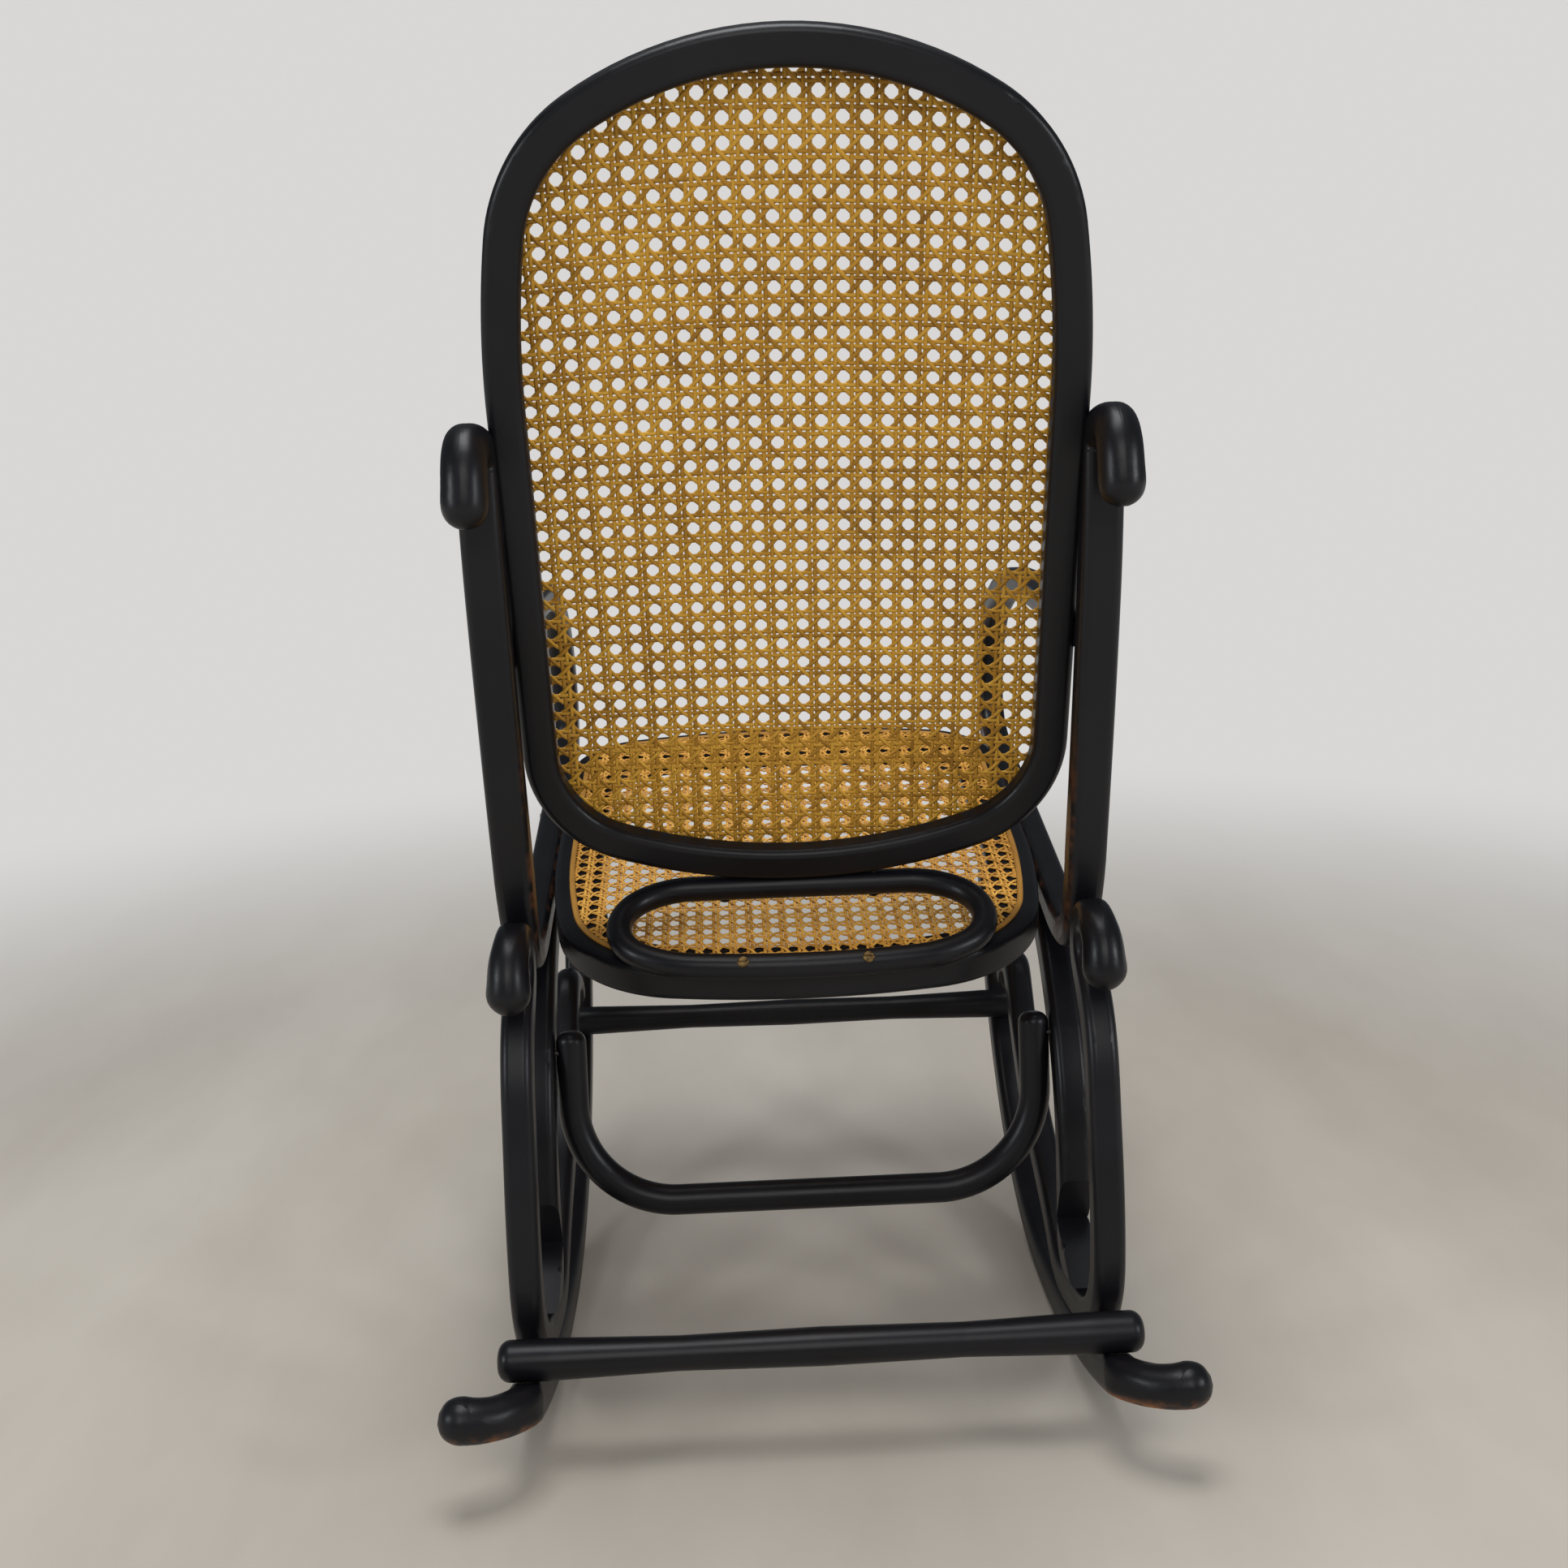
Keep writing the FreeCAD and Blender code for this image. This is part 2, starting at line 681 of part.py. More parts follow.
# Oval loop: its lower run lies on the seat's rounded rear edge, its upper run under the back's lower rail
loop_reach = rail_round + joint_gap + loop_radius
rest = math.radians(loop_rest + seat_slope)
loop_back = loop_reach * math.cos(rest) - rail_round
loop_up = loop_reach * math.sin(rest) - rail_round
loop_bow = seat_bends["arch"] + loop_back
loop_turn = math.asin((loop_half_width - loop_end_length) / loop_bow)
loop_low = seat_point(0, loop_back, loop_up)
loop_bend = seat_point(loop_half_width - loop_end_length, loop_bow * math.cos(loop_turn) - seat_bends["arch"], loop_up)
loop_leaving = V(math.cos(loop_turn), 0, 0) + heading(180 - seat_slope) * math.sin(loop_turn)
loop_top = side(back_foot) - back_arcs[0][0][1] * (loop_radius + joint_gap)
loop_rise = loop_top - side((loop_bend.y, loop_bend.z))
loop_middle = (loop_top + side((loop_bend.y, loop_bend.z))) * 0.5 + V(loop_half_width, 0, 0)
loop_arcs = bend([
    (loop_low, V(1, 0, 0)),
    (loop_bend, loop_leaving),
    (loop_middle, loop_rise),
    (loop_top + V(loop_half_width - loop_end_length, 0, 0), V(-1, 0, 0)),
    (loop_top, V(-1, 0, 0)),
])
loop_side = round_rod(loop_arcs, loop_radius)
back_support_loop = loop_side.fuse(mirrored(loop_side)).removeSplitter()

solids["seat_cane"] = seat_cane
solids["seat_binder"] = seat_binder
solids["back_cane"] = back_cane
solids["back_binder"] = back_binder
solids["seat_frame"] = seat_frame
solids["back_frame"] = back_frame
solids["rear_stretcher"] = rear_stretcher
solids["front_stretcher"] = front_stretcher
solids["hoop_brace"] = hoop_brace
solids["back_support_loop"] = back_support_loop


# Screws and bolts: a domed head on the surface, slotted on the screws, and a shank in a drilled hole
def fastener(place, direction, length, shank, head, dome):
    cap = Part.makeCylinder(head / 2, dome)
    top = [edge for edge in cap.Edges if edge.BoundBox.ZMin > 0.9 * dome]
    cap = cap.makeFillet(0.8 * dome, top)
    if shank == screw_shank:
        cap = cap.cut(Part.makeBox(2 * head, slot_width, dome, V(-head, -slot_width / 2, dome - slot_depth)))
    screw = cap.fuse(Part.makeCylinder(shank / 2, length, V(0, 0, 0), V(0, 0, -1)))
    screw.Placement = FreeCAD.Placement(place, FreeCAD.Rotation(V(0, 0, -1), direction))
    return screw


def fasten(name, places, length, pieces, shank=screw_shank, head=screw_head, dome=screw_dome):
    """Sets the left side's screws and their mirror images, and drills the pieces they pass through."""
    made = []
    for place, direction in places:
        direction = V(direction).normalize()
        hole = Part.makeCylinder(shank / 2 + screw_clearance, length + 2.3, place - direction * 2, direction)
        for piece in pieces:
            if piece.startswith("left_"):
                solids[piece] = solids[piece].cut(hole)
                right = piece.replace("left_", "right_")
                solids[right] = solids[right].cut(mirrored(hole))
            else:
                solids[piece] = solids[piece].cut([hole, mirrored(hole)])
        screw = fastener(place, direction, length, shank, head, dome)
        made += [screw, mirrored(screw)]
    solids[name] = Part.makeCompound(made)


def from_below(radius, angle, inward=0.0):
    """Place on the runner's underside at an angle along its curve, and the direction straight into it."""
    return side(on_curve(radius, angle, -runner_depth / 2), side_centre), heading(90 + angle)


arm_outside = side_centre + arm_width / 2
up_from_run = heading(90 + run_angle)
upright_bolt = crossing(upright_arcs, back_bolt_z)[0]
back_bolt = crossing(back_arcs, back_bolt_z)[0]
bolt_place = V(side_centre + upright_width / 2, (upright_bolt.y + back_bolt.y) / 2, back_bolt_z)
fasten("back_bolts", [(bolt_place, V(-1, 0, 0))], upright_width + 14.0, ["left_arm", "back_frame"],
       bolt_shank, bolt_head, bolt_dome)
fasten("seat_screws", [(side(run_point(y), arm_outside), V(-1, 0, 0)) for y in (20.0, -120.0)],
       arm_width + 22.0, ["left_arm", "seat_frame"])
under_return = stack + runner_depth / 2
fasten("arm_screws", [(side(beside(run_point(y), run_angle, under_return), side_centre), up_from_run)
                      for y in (-60.0, -150.0)], runner_depth + 14.0, ["left_arm", "left_runner"])
fasten("scroll_screws", [from_below(rear_radius, 8.4)], runner_depth + 15.0, ["left_runner", "left_scroll"])
fasten("foot_screws", [from_below(rear_radius, 11.0)], runner_depth + scroll_depth + 9.0,
       ["left_runner", "left_scroll"])
fasten("rear_stretcher_screws", [from_below(rear_radius, 20.0)], runner_depth + 18.0,
       ["left_runner", "rear_stretcher"])
fasten("front_stretcher_screws", [from_below(front_radius, -front_stretcher_angle)], runner_depth + 16.0,
       ["left_runner", "front_stretcher"])
hoop_screw = side((118.0, 256.0), side_centre + runner_width / 2)
fasten("hoop_screws", [(hoop_screw, V(-1, 0, 0))], runner_width + 14.0, ["left_runner", "hoop_brace"])
loop_screw_turn = math.asin(loop_screw_x / loop_bow)
outward = V(math.sin(loop_screw_turn), 0, 0) + heading(-seat_slope) * math.cos(loop_screw_turn)
loop_screw = seat_point(loop_screw_x, loop_bow * math.cos(loop_screw_turn) - seat_bends["arch"], loop_up)
loop_way = (outward * -math.cos(rest) - heading(90 - seat_slope) * math.sin(rest)).normalize()
fasten("loop_screws", [(loop_screw - loop_way * loop_radius, loop_way)], 2 * loop_radius + 14.0,
       ["back_support_loop", "seat_frame"])
back_way = back_arcs[0][0][1]
fasten("loop_top_screws", [(loop_top + V(loop_top_screw_x, 0, 0) - back_way * loop_radius, back_way)],
       2 * loop_radius + 14.0, ["back_support_loop", "back_frame"])

# Hidden dowels between the armrests' ends and the uprights
dowel_middle = armrest_joint + upright_front * (arm_depth / 2 + joint_gap / 2)
dowel = Part.makeCylinder(dowel_radius, 2 * dowel_half, dowel_middle - upright_front * dowel_half, upright_front)
dowel_reach = dowel_half + joint_gap
hole_start = dowel_middle - upright_front * dowel_reach
dowel_hole = Part.makeCylinder(dowel_radius + screw_clearance, 2 * dowel_reach, hole_start, upright_front)
solids["left_arm"] = solids["left_arm"].cut(dowel_hole)
solids["right_arm"] = solids["right_arm"].cut(mirrored(dowel_hole))
solids["armrest_dowels"] = Part.makeCompound([dowel, mirrored(dowel)])

# The whole chair is centred front to back over the origin
chair = Part.makeCompound(list(solids.values())).optimalBoundingBox(False, False)
centring = V(0, -(chair.YMin + chair.YMax) / 2, 0)
print("centring", centring, "lowest", chair.ZMin)
for name, solid in solids.items():
    placed = solid.Solids[0].copy() if len(solid.Solids) == 1 else solid.copy()
    placed.translate(centring)
    print(name, len(placed.Solids), placed.isValid(), round(placed.Volume / 1000, 1), "cm3")
    placed.exportStep("parts/" + name + ".step")
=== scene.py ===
import math

import bpy
from mathutils import Matrix, Vector
from mathutils.bvhtree import BVHTree


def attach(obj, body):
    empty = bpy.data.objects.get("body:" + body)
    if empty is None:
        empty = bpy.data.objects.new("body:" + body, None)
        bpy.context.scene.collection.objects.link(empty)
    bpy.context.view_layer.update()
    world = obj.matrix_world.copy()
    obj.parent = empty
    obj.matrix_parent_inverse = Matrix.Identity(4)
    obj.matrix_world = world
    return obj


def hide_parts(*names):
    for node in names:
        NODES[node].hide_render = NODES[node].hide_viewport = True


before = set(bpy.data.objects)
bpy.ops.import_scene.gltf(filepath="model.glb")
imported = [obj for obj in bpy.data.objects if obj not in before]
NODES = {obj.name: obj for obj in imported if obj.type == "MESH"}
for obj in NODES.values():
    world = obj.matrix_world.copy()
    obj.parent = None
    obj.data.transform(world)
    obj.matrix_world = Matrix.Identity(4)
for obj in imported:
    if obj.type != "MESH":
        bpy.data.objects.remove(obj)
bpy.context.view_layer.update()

MM = 0.001
SIDE_SHIFT = 38.76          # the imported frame's y is the drawing's y less this


def side(y, z, x=0.0):
    """Point of the chair's side drawing, in mm, as a point of the frame."""
    return Vector((x, y - SIDE_SHIFT, z)) * MM


# Camera: where the photograph was taken from
IMAGE_SIZE = 1932
FOCAL_PIXELS = 2139.83
SENSOR = 36.0
CAMERA_PLACE = side(1486.32, 755.62, 47.51)
CAMERA_RIGHT = Vector((-0.998832, 0.035007, -0.033288))
CAMERA_DOWN = Vector((0.039612, 0.199114, -0.979175))
CAMERA_AHEAD = Vector((-0.027649, -0.979351, -0.200268))


def make_camera():
    """Camera with the photograph's place, direction and angle of view."""
    data = bpy.data.cameras.new("camera")
    data.sensor_width = SENSOR
    data.lens = FOCAL_PIXELS * SENSOR / IMAGE_SIZE
    data.clip_start = 0.05
    data.clip_end = 60.0
    camera = bpy.data.objects.new("camera", data)
    axes = Matrix((CAMERA_RIGHT, -CAMERA_DOWN, -CAMERA_AHEAD)).transposed().to_4x4()
    camera.matrix_world = Matrix.Translation(CAMERA_PLACE) @ axes
    bpy.context.scene.collection.objects.link(camera)
    bpy.context.scene.camera = camera


# Materials
class Nodes:
    """Short way to lay out a material's nodes."""

    def __init__(self, name):
        self.material = bpy.data.materials.new(name)
        self.material.use_nodes = True
        self.tree = self.material.node_tree
        self.tree.nodes.clear()
        self.output = self.tree.nodes.new("ShaderNodeOutputMaterial")
        self.shader = self.tree.nodes.new("ShaderNodeBsdfPrincipled")
        self.tree.links.new(self.shader.outputs[0], self.output.inputs[0])

    def put(self, socket, value):
        if hasattr(value, "links"):
            self.tree.links.new(value, socket)
        else:
            socket.default_value = value

    def make(self, kind, settings=(), **inputs):
        node = self.tree.nodes.new("ShaderNode" + kind)
        for key, value in dict(settings).items():
            setattr(node, key, value)
        for key, value in inputs.items():
            self.put(node.inputs[key.replace("_", " ")], value)
        return node

    def surface(self, **inputs):
        for key, value in inputs.items():
            self.put(self.shader.inputs[key.replace("_", " ")], value)
        return self.material

    def place(self, stretch=(1.0, 1.0, 1.0)):
        texture = self.make("TexCoord")
        mapping = self.make("Mapping", Vector=texture.outputs["Object"])
        mapping.inputs["Scale"].default_value = stretch
        return mapping.outputs[0]

    def noise(self, scale, detail=4.0, roughness=0.55, vector=None):
        vector = vector or self.place()
        node = self.make("TexNoise", Vector=vector, Scale=scale, Detail=detail, Roughness=roughness)
        return node.outputs[0]

    def ramp(self, value, *stops):
        node = self.make("ValToRGB", Fac=value)
        elements = node.color_ramp.elements
        while len(elements) < len(stops):
            elements.new(0.5)
        for element, (position, colour) in zip(elements, stops):
            element.position = position
            element.color = (*colour, 1.0)
        return node.outputs[0]

    def mask(self, value, low, high):
        node = self.make("MapRange", {"clamp": True}, Value=value)
        node.inputs["From Min"].default_value = low
        node.inputs["From Max"].default_value = high
        return node.outputs[0]

    def math(self, operation, one, other=0.0):
        node = self.tree.nodes.new("ShaderNodeMath")
        node.operation = operation
        self.put(node.inputs[0], one)
        self.put(node.inputs[1], other)
        return node.outputs[0]

    def blend(self, amount, one, other):
        node = self.tree.nodes.new("ShaderNodeMix")
        node.data_type = "RGBA"
        self.put(node.inputs[0], amount)
        for socket, value in ((node.inputs[6], one), (node.inputs[7], other)):
            self.put(socket, (*value, 1.0) if isinstance(value, tuple) else value)
        return node.outputs[2]

    def bump(self, height, strength, distance, normal=None):
        node = self.make("Bump", Height=height, Strength=strength, Distance=distance)
        if normal:
            self.put(node.inputs["Normal"], normal)
        return node.outputs[0]

    def axis(self, output, name):
        node = self.make("SeparateXYZ", Vector=output)
        return node.outputs[name]


PAINT_DARK = (0.0034, 0.0034, 0.0049)
PAINT_GREY = (0.0072, 0.0070, 0.0092)
WORN_BROWN = (0.100, 0.036, 0.013)
BARE_WOOD = (0.340, 0.120, 0.030)
WORN_HEIGHTS = (0.350, 0.500)       # of the worn strip on the uprights, above the floor, in m
WORN_SOFT = 0.05


def paint(name, worn=None, bare=None):
    """Satin black paint; worn and bare name the places where wood shows through it."""
    n = Nodes(name)
    cloud = n.noise(9.0, 5.0)
    fine = n.noise(260.0, 3.0)
    colour = n.blend(n.mask(cloud, 0.35, 0.70), PAINT_DARK, PAINT_GREY)
    rough = n.math("ADD", n.math("MULTIPLY", cloud, 0.16), 0.29)
    chips = n.noise(46.0, 8.0, 0.62)
    for kind, shade in ((worn, WORN_BROWN), (bare, BARE_WOOD)):
        if kind:
            reach = kind(n)
            amount = n.math("MULTIPLY", reach, n.mask(chips, 0.46, 0.60))
            colour = n.blend(amount, colour, shade)
            rough = n.math("ADD", rough, n.math("MULTIPLY", amount, 0.22))
    grain = n.noise(900.0, 2.0)
    normal = n.bump(fine, 0.10, 0.0006)
    normal = n.bump(grain, 0.05, 0.0002, normal)
    return n.surface(Base_Color=colour, Roughness=rough, Normal=normal, Specular_IOR_Level=0.30)


def band(n, axis, low, high, soft):
    """1 between two heights or depths, soft at both ends."""
    place = n.axis(n.place(), axis)
    rise = n.mask(place, low - soft, low + soft)
    fall = n.mask(place, high + soft, high - soft)
    return n.math("MULTIPLY", rise, fall)


def facing(n, axis, low, high, sign=1.0):
    """1 where the surface faces along an axis."""
    normal = n.make("NewGeometry").outputs["Normal"]
    value = n.axis(normal, axis)
    if sign < 0:
        value = n.math("MULTIPLY", value, -1.0)
    return n.mask(value, low, high)


def worn_inside(sign):
    """Wear on an upright's inner face, near the seat."""
    def reach(n):
        heights = band(n, "Z", *WORN_HEIGHTS, WORN_SOFT)
        return n.math("MULTIPLY", heights, facing(n, "X", 0.45, 0.95, -sign))
    return reach


def bare_tail(n):
    """Bare wood under a runner's tail."""
    low = n.mask(n.axis(n.place(), "Z"), 0.120, 0.060)
    behind = n.mask(n.axis(n.place(), "Y"), 0.250, 0.300)
    under = facing(n, "Z", -0.10, -0.75)
    return n.math("MULTIPLY", n.math("MULTIPLY", low, behind), under)


def cane_material(name, light, middle, dark):
    """Split cane: fibres along each strand, each strand with its own tone."""
    n = Nodes(name)
    strand = n.make("Attribute", {"attribute_name": "strand"}).outputs["Vector"]
    mapping = n.make("Mapping", Vector=strand)
    mapping.inputs["Scale"].default_value = (1.0, 0.02, 1.0)
    fibre = n.noise(2600.0, 3.0, 0.6, mapping.outputs[0])
    stain = n.noise(14.0, 4.0)
    tone = n.axis(strand, "Z")
    mix = n.math("ADD", n.math("MULTIPLY", fibre, 0.50), n.math("MULTIPLY", stain, 0.35))
    mix = n.math("ADD", mix, n.math("MULTIPLY", tone, 0.30))
    colour = n.ramp(mix, (0.30, dark), (0.55, middle), (0.85, light))
    rough = n.math("ADD", n.math("MULTIPLY", fibre, 0.25), 0.42)
    normal = n.bump(fibre, 0.35, 0.0003)
    return n.surface(Base_Color=colour, Roughness=rough, Normal=normal, Specular_IOR_Level=0.26)


def metal(name, colour, tarnish, roughness):
    """Screw metal with tarnished spots and fine scratches."""
    n = Nodes(name)
    spots = n.noise(420.0, 5.0)
    scratch = n.noise(1500.0, 2.0)
    shade = n.blend(n.mask(spots, 0.40, 0.65), colour, tarnish)
    rough = n.math("ADD", n.math("MULTIPLY", spots, 0.30), roughness)
    normal = n.bump(scratch, 0.12, 0.0001)
    return n.surface(Base_Color=shade, Roughness=rough, Metallic=1.0, Normal=normal)


def dress(names, material):
    """Give CAD nodes a material in place of their own."""
    for name in names:
        data = NODES[name].data
        data.materials.clear()
        data.materials.append(material)


# Woven cane
PITCH = 15.60               # distance between hole centres in the back's cane
SEAT_PITCH = 13.30          # the seat's cane is finer, and drawn out a little from front to back
SEAT_STRETCH = 1.16
PAIR = 1.95                 # half the distance between the two strands of a pair
STRAND_WIDTH = 2.9          # the back's; the seat's strands are narrower by its finer pitch
STRAND_RISE = 0.40          # half a strand's thickness
LIFT = 0.42                 # how far crossing strands of the two pairs part
DIAGONAL_LIFT = 0.80        # how far the diagonals stand off the pairs
PANEL_STEPS = 260           # rays along a panel, and points round its binder
RAY = 0.1                   # m in front of or behind a sheet, where a ray starts
BEYOND = 0.42               # m from a panel's middle, past its edge on every side
MARCH = 0.004               # m, shorter than the sheet's closed margin, so no hole hides its edge
WEAVE_REACH = 0.33          # m, half of the longest panel
SHORTEST = 0.004            # m, a strand shorter than this is left out
TIGHT = 0.0004              # m, an end nearer than this to a crossing gets no point of its own


class Panel:
    """A CAD cane sheet's middle surface, by distance from the chair's middle and length along it."""

    def __init__(self, node, start, along, face, length, bow=0.0, skew=0.0, stretch=1.0):
        data = NODES[node].data
        points = [vertex.co for vertex in data.vertices]
        polygons = [tuple(polygon.vertices) for polygon in data.polygons]
        self.tree = BVHTree.FromPolygons(points, polygons)
        self.start, self.along, self.face = start, along.normalized(), face.normalized()
        self.length, self.bow, self.skew, self.stretch = length, bow, skew, stretch
        self.places = []
        for step in range(PANEL_STEPS + 1):
            base = self.start + self.along * (length * step / PANEL_STEPS)
            near = self.tree.ray_cast(base + self.face * RAY, -self.face)[0]
            far = self.tree.ray_cast(base - self.face * RAY, self.face)[0]
            if near and far:
                self.places.append((near + far) / 2)
        first = (self.places[0] - self.start).dot(self.along)
        self.lengths = [first]
        for one, other in zip(self.places, self.places[1:]):
            self.lengths.append(self.lengths[-1] + (other - one).length)

    def at(self, run):
        """Point on the middle line, its direction and the direction out of the sheet."""
        table = self.lengths
        known = min(max(run, table[0]), table[-1])
        low, high = 0, len(table) - 1
        while high - low > 1:
            middle = (low + high) // 2
            if table[middle] <= known:
                low = middle
            else:
                high = middle
        share = (known - table[low]) / (table[high] - table[low])
        along = self.smooth(low)
        point = self.places[low].lerp(self.places[high], share) + along * (run - known)
        return point, along, Vector((0, -along.z, along.y)) * self.turn()

    def smooth(self, low):
        """Direction of the middle line, over a few points of it."""
        before = self.places[max(low - 3, 0)]
        after = self.places[min(low + 4, len(self.places) - 1)]
        return (after - before).normalized()

    def turn(self):
        """1 where the panel's face is to the left of its direction, seen from +X, and -1 otherwise."""
        return 1.0 if Vector((0, -self.along.z, self.along.y)).dot(self.face) > 0 else -1.0

    def bent(self, across, run):
        """Length along the sheet of a point of a cross strand.

        The cross strands are a little askew, and bow the more the higher they are.
        """
        run *= self.stretch
        share = min(max(run / self.length, 0.0), 1.0)
        return run + across * self.skew - across * across * self.bow * share

    def inside(self, across, run):
        """Whether the CAD sheet is behind a point; in the sheet's own holes it isn't."""
        run = self.bent(across, run)
        if not self.lengths[0] < run < self.lengths[-1]:
            return False
        point = self.at(run)[0] + Vector((across, 0, 0))
        return self.tree.ray_cast(point + self.face * RAY, -self.face)[0] is not None

    def place(self, across, run, out):
        """Point at a distance out of the sheet, with its direction along and out of the sheet."""
        point, along, normal = self.at(self.bent(across, run))
        return point + Vector((across, 0, 0)) + normal * out, along, normal


def ends(panel, point, step):
    """Where a straight line meets the edge of a panel's sheet, at both ends, from outside."""
    found = []
    for sign in (-1, 1):
        far = BEYOND
        while far > -BEYOND and not panel.inside(*(point + step * (sign * far))):
            far -= MARCH
        if far <= -BEYOND:
            return None
        high, low = far + MARCH, far
        for trial in range(8):
            middle = (low + high) / 2
            if panel.inside(*(point + step * (sign * middle))):
                low = middle
            else:
                high = middle
        found.append(sign * low)
    return found


def waves(low, high, start, spacing, pattern):
    """Positions and heights along a strand, from the crossings that repeat at a spacing."""
    events = []
    first = math.floor((low - start) / spacing) - 1
    last = math.ceil((high - start) / spacing) + 1
    for cell in range(first, last + 1):
        for offset, height in pattern:
            position = start + cell * spacing + offset
            if low < position < high:
                events.append((position, height))
    events.sort()
    if not events:
        return []
    if events[0][0] - low > TIGHT:
        events.insert(0, (low, 0.0))
    if high - events[-1][0] > TIGHT:
        events.append((high, 0.0))
    return events


def weave(name, node, panel, pitch, centre, hole, material):
    """Six-way cane sheet: pairs of uprights, pairs of cross strands and two diagonals.

    centre is the panel's middle and hole one hole's centre, both as (across, run) in mm.
    """
    scale = pitch / PITCH
    pitch *= MM
    pair = PAIR * scale * MM
    lift, high_lift = LIFT * MM, DIAGONAL_LIFT * MM
    middle = Vector(centre) * MM
    node_x = hole[0] * MM + pitch / 2
    node_y = hole[1] * MM + pitch / 2
    strands = []
    reach = int(WEAVE_REACH / pitch) + 1
    base_x = node_x + round((middle.x - node_x) / pitch) * pitch
    base_y = node_y + round((middle.y - node_y) / pitch) * pitch

    def run(point, step, pattern_start, spacing, pattern):
        found = ends(panel, point, step)
        if found is None or found[1] - found[0] < SHORTEST:
            return
        low, high = found
        strands.append((point, step, waves(low, high, pattern_start, spacing, pattern)))

    for cell in range(-reach, reach + 1):
        for sign in (-1, 1):
            over = lift * sign
            between = [(pitch / 2 - pair, 0.0), (pitch / 2 + pair, 0.0)]
            x = base_x + cell * pitch + sign * pair
            upright = [(-pair, -over), (pair, over)] + between
            run(Vector((x, middle.y)), Vector((0, 1)), base_y - middle.y, pitch, upright)
            y = base_y + cell * pitch + sign * pair
            cross = [(-pair, over), (pair, -over)] + between
            run(Vector((middle.x, y)), Vector((1, 0)), base_x - middle.x, pitch, cross)
    slant = pitch * math.sqrt(2)
    for sign in (-1, 1):
        step = Vector((1, sign)) / math.sqrt(2)
        span = pair * math.sqrt(2)
        for cell in range(-2 * reach, 2 * reach + 1):
            # the strand crosses an upright pair, half a pitch above a cross pair, at this point
            start = Vector((base_x, base_y + (cell + 0.5) * pitch))
            shift = (middle - start).dot(step)
            point = start + step * shift
            swing = sign * high_lift
            over_pair = [(-span, swing), (span, swing)]
            under_pair = [(slant / 2 - span, -swing), (slant / 2 + span, -swing)]
            run(point, step, -shift, slant, over_pair + under_pair)
    strand_mesh(name, node, panel, strands, scale * STRAND_WIDTH * MM / 2, material)


BINDER_WIDTH = 5.0
BINDER_GAP = 0.3
# half-round section: shares of half the width, and heights in mm
BINDER_SECTION = (
    (-1.0, -1.2), (-0.94, 0.1), (-0.55, 0.95), (0.0, 1.25), (0.55, 0.95), (0.94, 0.1), (1.0, -1.2))


def binder_ring(name, node, panel, middle, material):
    """Half-round binder cane round a panel, just outside the sheet's edge."""
    centre = Vector(middle) * MM
    count = PANEL_STEPS
    outline = []
    for number in range(count):
        turn = 2 * math.pi * number / count
        step = Vector((math.cos(turn), math.sin(turn)))
        outline.append(centre + step * ends(panel, centre, step)[1])
    verts, faces, marks, length = [], [], [], 0.0
    for number, point in enumerate(outline):
        along = (outline[(number + 1) % count] - outline[number - 1]).normalized()
        out = Vector((along.y, -along.x))
        length += (point - outline[number - 1]).length
        for across, up in BINDER_SECTION:
            shift = (BINDER_WIDTH / 2 + BINDER_GAP + across * BINDER_WIDTH / 2) * MM
            place = point + out * shift
            verts.append(panel.place(place.x, place.y, up * MM)[0])
            marks.append((across * BINDER_WIDTH * MM / 2, length, 0.5))
    sides = len(BINDER_SECTION)
    for number in range(count):
        one, other = number * sides, (number + 1) % count * sides
        for corner in range(sides):
            following = (corner + 1) % sides
            faces.append((one + corner, one + following, other + following, other + corner))
    finish_piece(name, node, verts, faces, marks, material)


# flat six-sided section of a strand: shares of half its width and of half its thickness
STRAND_SECTION = ((-1.0, 0.0), (-0.45, 1.0), (0.45, 1.0), (1.0, 0.0), (0.45, -1.0), (-0.45, -1.0))
GOLDEN = 0.61803            # step from one strand's tone to the next one's


def strand_mesh(name, node, panel, strands, half, material):
    """One mesh of all the strands, each through its crossings."""
    rise = STRAND_RISE * MM
    verts, faces, marks = [], [], []
    for number, (point, step, events) in enumerate(strands):
        if len(events) < 2:
            continue
        tone = (number * GOLDEN) % 1.0
        first = len(verts)
        for position, height in events:
            place = point + step * position
            spot, along, normal = panel.place(place.x, place.y, height)
            wide = Vector((-step.y, 0, 0)) + along * step.x
            for across, up in STRAND_SECTION:
                verts.append(spot + wide * (across * half) + normal * (up * rise))
                marks.append((across * half, position, tone))
        count = len(STRAND_SECTION)
        for ring in range(len(events) - 1):
            one, other = first + ring * count, first + (ring + 1) * count
            for corner in range(count):
                following = (corner + 1) % count
                faces.append((one + corner, one + following, other + following, other + corner))
        last = first + (len(events) - 1) * count
        faces.append(tuple(range(first, first + count))[::-1])
        faces.append(tuple(range(last, last + count)))
    finish_piece(name, node, verts, faces, marks, material)


def finish_piece(name, node, verts, faces, marks, material):
    """A cane piece that stands for a CAD node; marks are across, along and tone at each point."""
    data = bpy.data.meshes.new(name)
    data.from_pydata(verts, [], faces)
    data.polygons.foreach_set("use_smooth", [True] * len(data.polygons))
    attribute = data.attributes.new("strand", "FLOAT_VECTOR", "POINT")
    attribute.data.foreach_set("vector", [value for mark in marks for value in mark])
    data.materials.append(material)
    piece = bpy.data.objects.new(name, data)
    bpy.context.scene.collection.objects.link(piece)
    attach(piece, "root")
    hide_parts(node)


